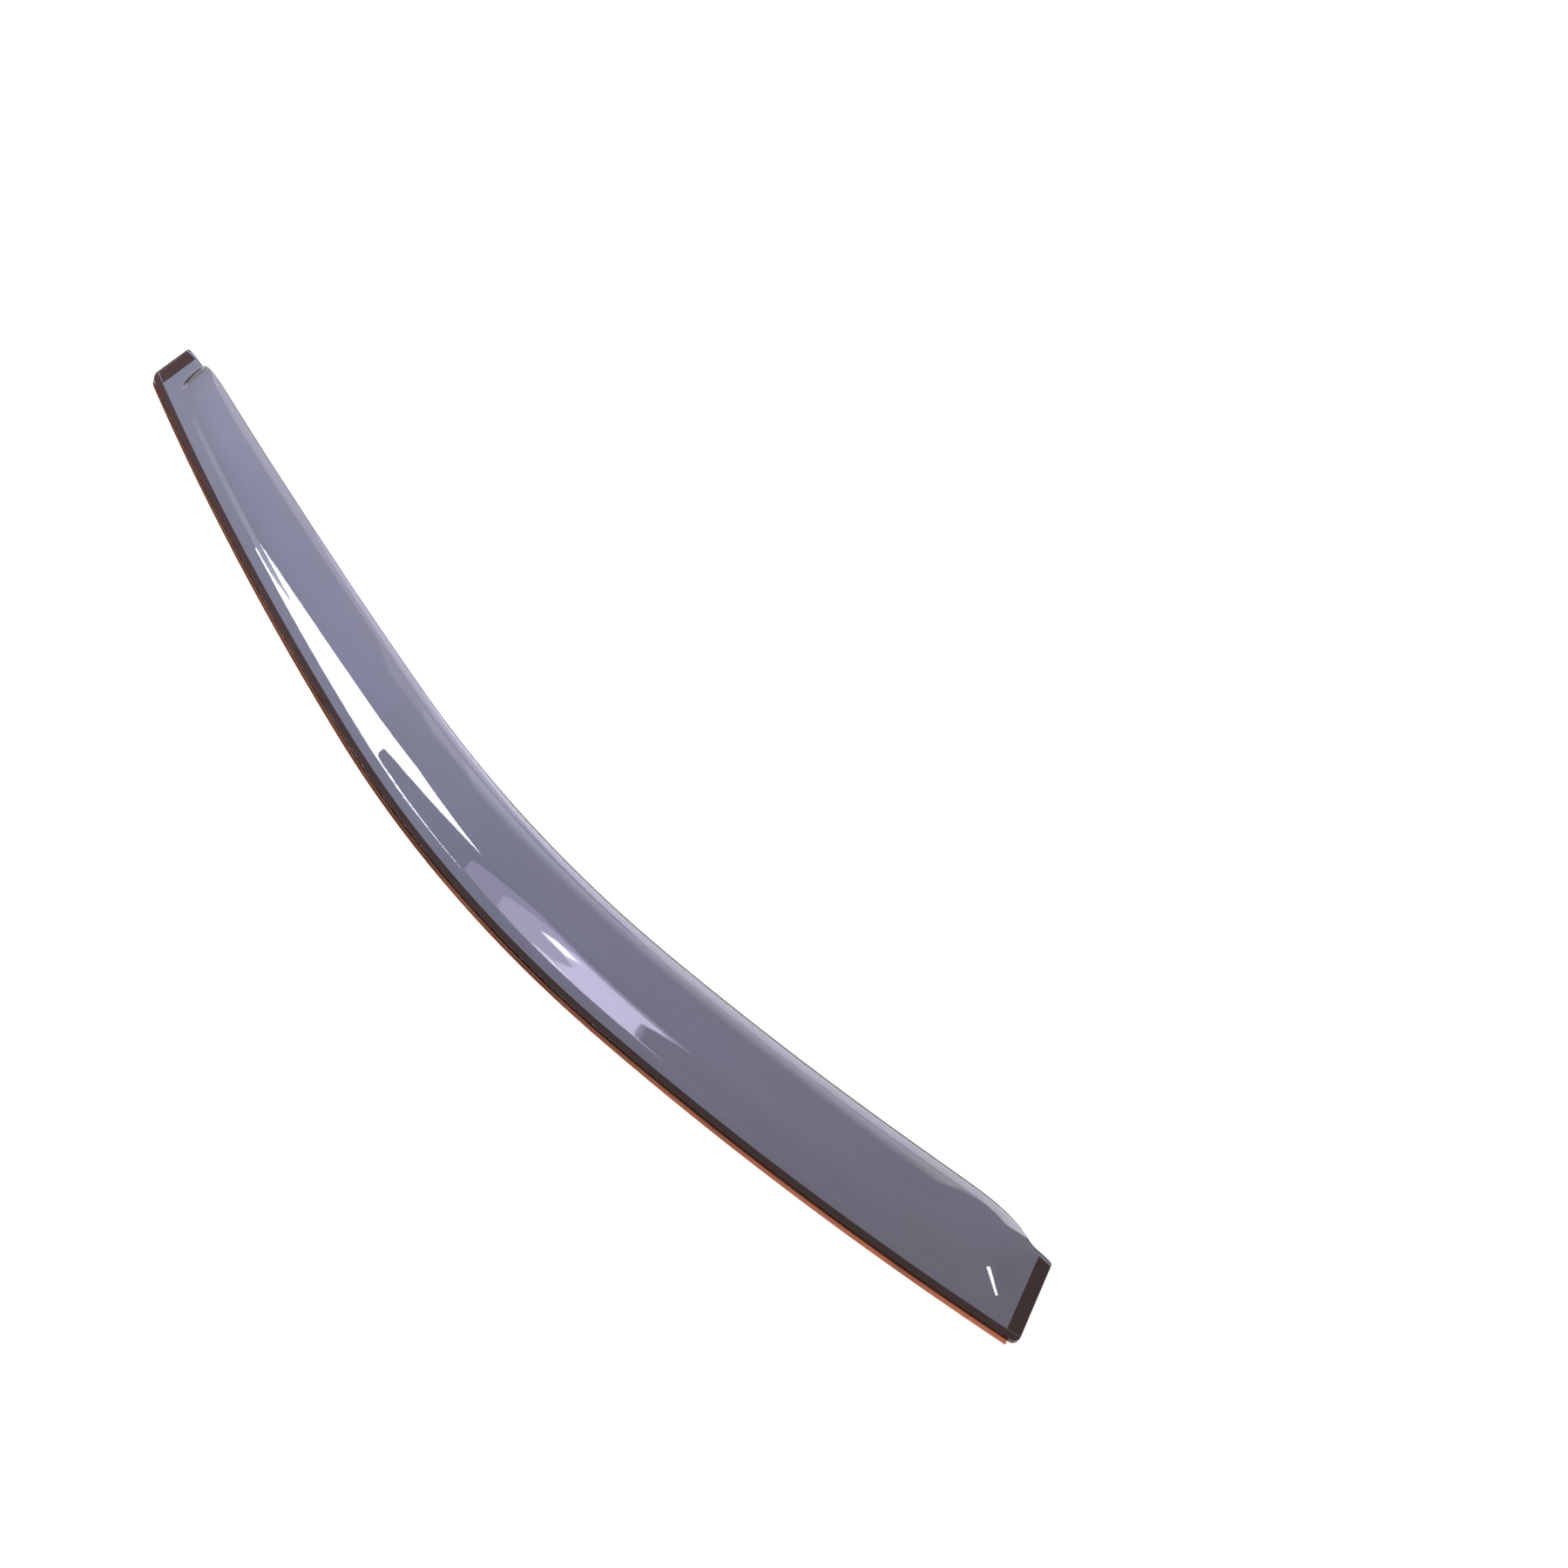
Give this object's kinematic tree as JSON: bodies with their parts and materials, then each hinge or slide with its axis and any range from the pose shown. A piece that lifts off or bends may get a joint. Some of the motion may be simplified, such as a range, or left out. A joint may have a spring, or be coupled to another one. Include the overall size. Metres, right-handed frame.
{
  "type": "window rain deflector",
  "caption": "Stick-on rain deflector for a car's front side window: a curved smoke-tinted shell with a raised blister on a flat flange, backed by foam tape with red release liner.",
  "frame": {"origin": "middle of the bounding box, on the plane of the liner faces that go to the door frame", "axes": "+X to the rear of the car along the chord of the tape edge, +Y from the tape edge to the free edge, +Z out of the door"},
  "size_m": [0.9218, 0.1346, 0.023],
  "materials": {
    "smoke_acrylic": "clear smoke tint, polished",
    "foam_tape": "dark grey closed-cell foam, matte",
    "release_film": "thin red film, satin"
  },
  "bodies": {
    "root": {"visor_shell": "smoke_acrylic", "long_tape": "foam_tape", "front_tape": "foam_tape", "rear_tape": "foam_tape", "long_liner": "release_film", "front_liner": "release_film", "rear_liner": "release_film"}
  },
  "joints": []
}
